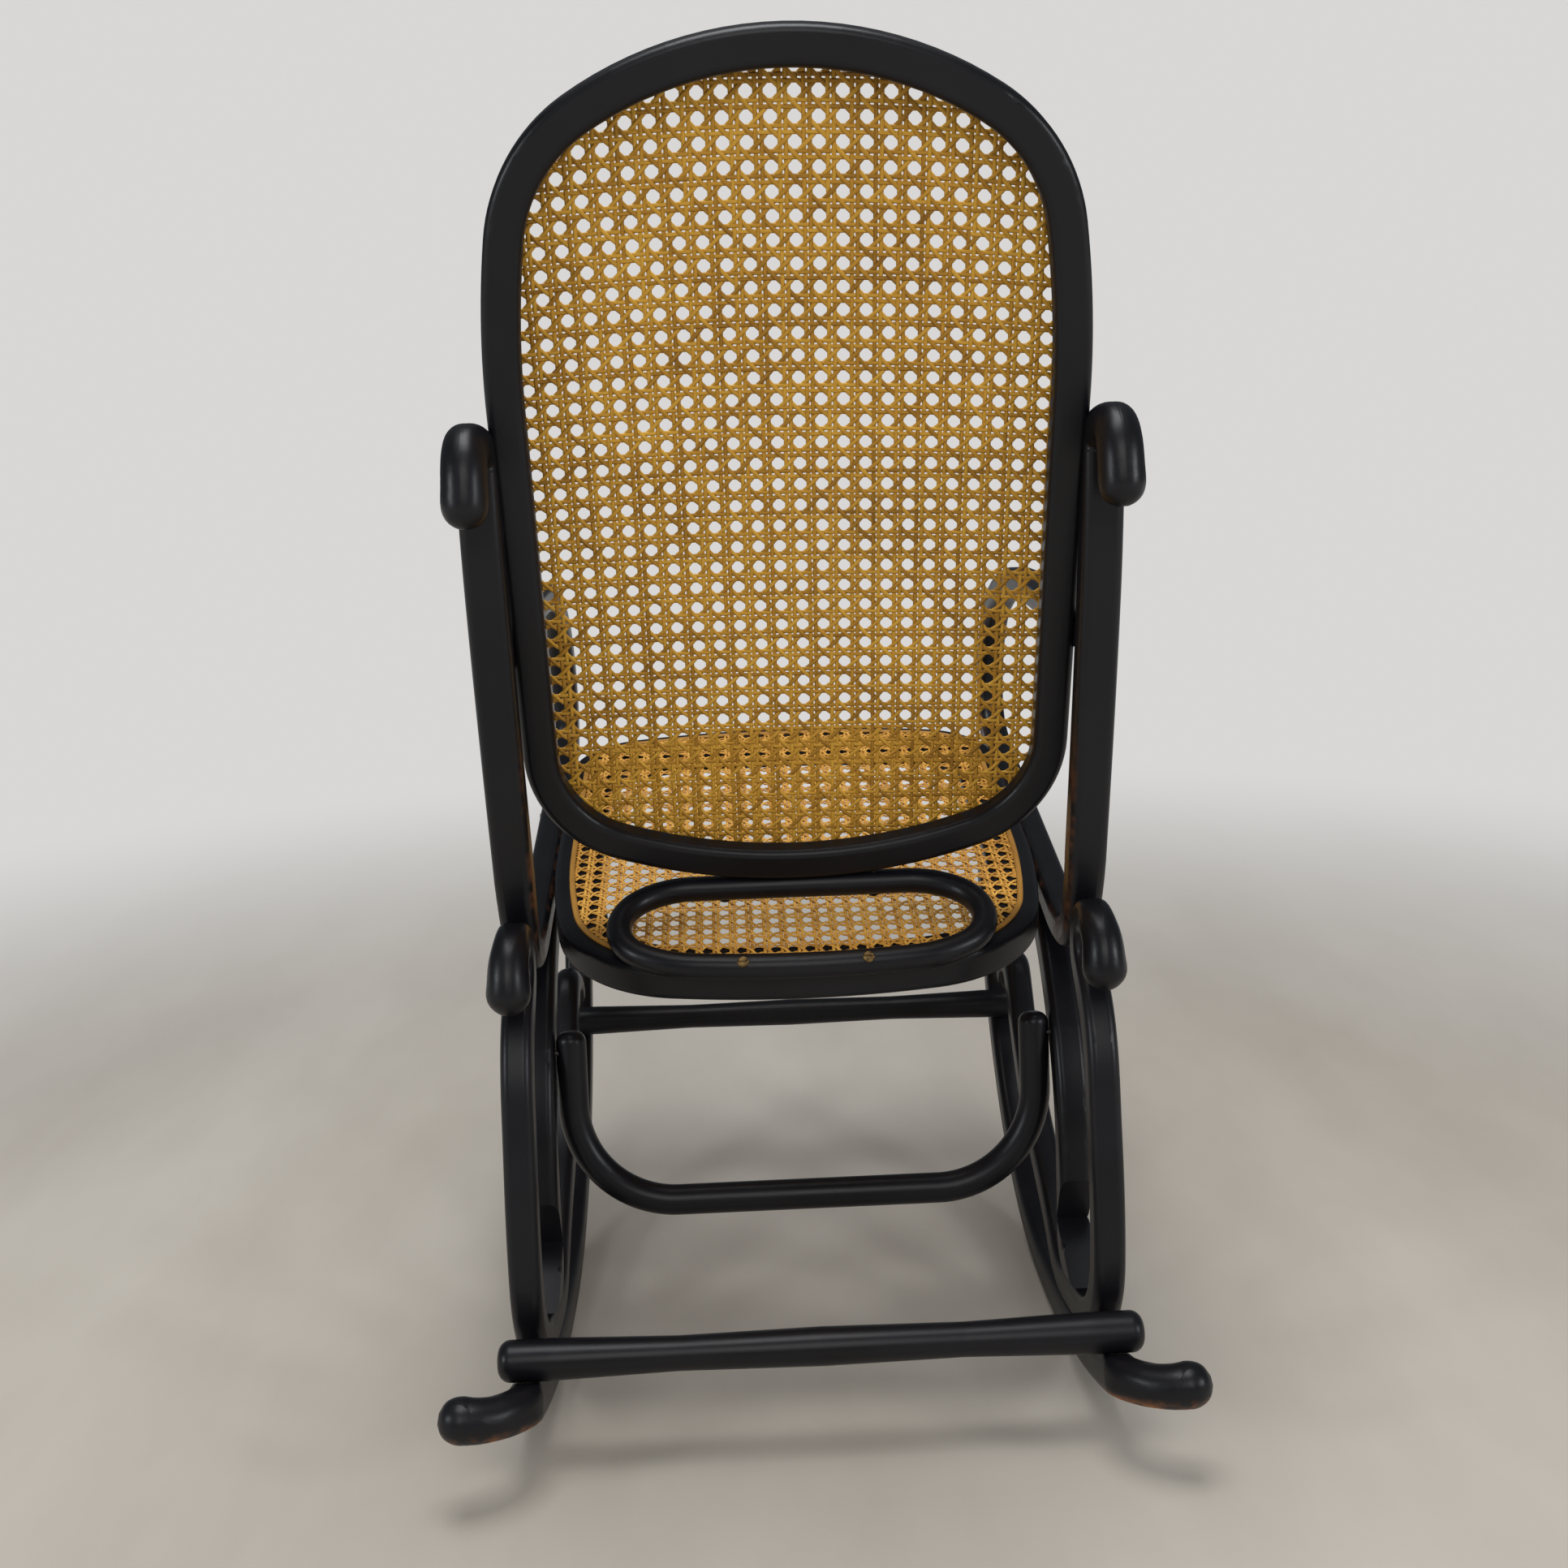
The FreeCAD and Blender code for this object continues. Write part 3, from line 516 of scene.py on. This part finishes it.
# Floor, light and surroundings
BACKDROP = (0.690, 0.680, 0.670, 1.0)
FLOOR_DARK = (0.430, 0.385, 0.330)
FLOOR_PALE = (0.530, 0.488, 0.430)
FLOOR_HALF = 14.0
FADE = (0.7, 2.5)           # m from the chair's middle, over which the floor takes the backdrop's colour


def make_stage():
    """Pale floor that fades into the backdrop's colour."""
    n = Nodes("floor")
    squares = [n.math("POWER", n.axis(n.place(), name), 2.0) for name in ("X", "Y")]
    far = n.math("POWER", n.math("ADD", *squares), 0.5)
    streaks = n.noise(2.2, 6.0, 0.6, n.place((1.0, 0.35, 1.0)))
    n.surface(Base_Color=n.blend(n.mask(streaks, 0.35, 0.70), FLOOR_DARK, FLOOR_PALE), Roughness=0.6)
    glow = n.make("Emission", Color=BACKDROP, Strength=1.0)
    path = n.make("LightPath")
    seen = n.math("MAXIMUM", path.outputs["Is Camera Ray"], path.outputs["Is Glossy Ray"])
    fade = n.make("MapRange", {"interpolation_type": "SMOOTHSTEP"},
                  Value=far, From_Min=FADE[0], From_Max=FADE[1])
    amount = n.math("MULTIPLY", fade.outputs[0], seen)
    mix = n.tree.nodes.new("ShaderNodeMixShader")
    n.put(mix.inputs[0], amount)
    n.put(mix.inputs[1], n.shader.outputs[0])
    n.put(mix.inputs[2], glow.outputs[0])
    n.put(n.output.inputs[0], mix.outputs[0])
    data = bpy.data.meshes.new("floor")
    corners = [(x * FLOOR_HALF, y * FLOOR_HALF, 0) for x, y in ((-1, -1), (1, -1), (1, 1), (-1, 1))]
    data.from_pydata(corners, [], [(0, 1, 2, 3)])
    data.materials.append(n.material)
    floor = bpy.data.objects.new("floor", data)
    bpy.context.scene.collection.objects.link(floor)


# what a ray from the world sees: kind of ray, colour and strength
WORLD_LIGHT = (
    (None, (0.96, 0.98, 1.0, 1.0), 0.40),
    ("Is Glossy Ray", (0.86, 0.92, 1.0, 1.0), 0.12),
    ("Is Camera Ray", BACKDROP, 1.0))
# soft lamps: name, place, target, size in m, power in W and colour
LAMPS = (
    ("overhead", (0.1, 0.3, 3.0), (0.0, 0.0, 0.4), 1.5, 46.0, (0.98, 0.99, 1.0)),
    ("behind_camera", (0.0, 3.6, 2.6), (0.0, 0.0, 0.5), 2.0, 34.0, (1.0, 0.99, 0.97)),
    ("window", (2.5, 1.5, 1.3), (0.0, 0.0, 0.6), 0.6, 18.0, (0.93, 0.97, 1.0)),
    ("other_window", (-2.4, 1.7, 1.3), (0.0, 0.0, 0.6), 0.6, 20.0, (0.96, 0.98, 1.0)))


def make_light():
    """World and soft lamps."""
    world = bpy.data.worlds.new("world")
    bpy.context.scene.world = world
    world.use_nodes = True
    tree = world.node_tree
    tree.nodes.clear()
    output = tree.nodes.new("ShaderNodeOutputWorld")
    path = tree.nodes.new("ShaderNodeLightPath")
    shader = None
    for kind, colour, strength in WORLD_LIGHT:
        light = tree.nodes.new("ShaderNodeBackground")
        light.inputs[0].default_value = colour
        light.inputs[1].default_value = strength
        if kind is None:
            shader = light
            continue
        mix = tree.nodes.new("ShaderNodeMixShader")
        tree.links.new(path.outputs[kind], mix.inputs[0])
        tree.links.new(shader.outputs[0], mix.inputs[1])
        tree.links.new(light.outputs[0], mix.inputs[2])
        shader = mix
    tree.links.new(shader.outputs[0], output.inputs[0])
    for name, place, target, size, power, colour in LAMPS:
        data = bpy.data.lights.new(name, "AREA")
        data.shape = "DISK"
        data.size = size
        data.energy = power
        data.color = colour
        lamp = bpy.data.objects.new(name, data)
        lamp.location = place
        lamp.rotation_mode = "QUATERNION"
        lamp.rotation_quaternion = (Vector(target) - Vector(place)).to_track_quat("-Z", "Y")
        bpy.context.scene.collection.objects.link(lamp)


make_camera()
make_stage()
make_light()

# Finishes of the CAD nodes
paint_plain = paint("black_paint")
for name, sign in (("left", 1.0), ("right", -1.0)):
    dress([name + "_arm"], paint("black_paint_arm_" + name, worn=worn_inside(sign)))
    dress([name + "_runner"], paint("black_paint_runner_" + name, bare=bare_tail))
    dress([name + "_scroll"], paint_plain)
dress(("seat_frame", "back_frame", "rear_stretcher", "front_stretcher", "hoop_brace",
       "back_support_loop", "armrest_dowels"), paint_plain)

cane_back = cane_material(
    "cane_back", (0.690, 0.395, 0.052), (0.485, 0.243, 0.026), (0.190, 0.084, 0.009))
# the seat's colours are the back's cane made about a quarter lighter: painted light, for the overhead
# light that falls on the seat from above
cane_seat_painted_light = cane_material(
    "cane_seat_painted_light", (0.780, 0.440, 0.085), (0.600, 0.290, 0.046), (0.270, 0.108, 0.014))
cane_edge = cane_material(
    "cane_edge", (0.520, 0.280, 0.055), (0.360, 0.168, 0.026), (0.160, 0.062, 0.009))

steel = metal("dark_steel", (0.10, 0.095, 0.09), (0.045, 0.03, 0.02), 0.35)
brass = metal("brass", (0.26, 0.17, 0.07), (0.06, 0.038, 0.02), 0.36)
for name in NODES:
    if name.endswith("screws") or name.endswith("bolts"):
        dress([name], brass if name == "loop_screws" else steel)

# Cane panels: where the CAD sheets start, how they lie, and where their grids are in the photograph
BACK_FOOT, BACK_LENGTH = side(138.4, 406.1), 0.64
SEAT_REAR, SEAT_LENGTH = side(219.6, 351.5), 0.49
BACK_LEAN = math.radians(71.60)
SEAT_SLOPE = math.radians(12.7)
BACK_BOW = 0.33
BACK_SKEW, SEAT_SKEW = 0.0163, 0.030
BACK_MIDDLE, SEAT_MIDDLE = 313.0, 243.0
BACK_HOLE, SEAT_HOLE = (8.57, 384.8), (-5.1, 92.3)

back_panel = Panel(
    "back_cane", BACK_FOOT, Vector((0, math.cos(BACK_LEAN), math.sin(BACK_LEAN))),
    Vector((0, -math.sin(BACK_LEAN), math.cos(BACK_LEAN))), BACK_LENGTH, BACK_BOW, BACK_SKEW)
seat_place = (SEAT_REAR, Vector((0, -math.cos(SEAT_SLOPE), math.sin(SEAT_SLOPE))),
              Vector((0, math.sin(SEAT_SLOPE), math.cos(SEAT_SLOPE))), SEAT_LENGTH)
seat_edge = Panel("seat_cane", *seat_place)
seat_panel = Panel("seat_cane", *seat_place, skew=SEAT_SKEW, stretch=SEAT_STRETCH)
binder_ring("back_binder_cane", "back_binder", back_panel, (0.0, BACK_MIDDLE), cane_edge)
binder_ring("seat_binder_cane", "seat_binder", seat_edge, (0.0, SEAT_MIDDLE), cane_edge)
weave("back_cane_weave", "back_cane", back_panel, PITCH, (0.0, BACK_MIDDLE), BACK_HOLE,
      cane_back)
weave("seat_cane_weave", "seat_cane", seat_panel, SEAT_PITCH, (0.0, SEAT_MIDDLE / SEAT_STRETCH),
      (SEAT_HOLE[0], SEAT_HOLE[1] / SEAT_STRETCH), cane_seat_painted_light)

bpy.context.scene.view_settings.view_transform = "Standard"
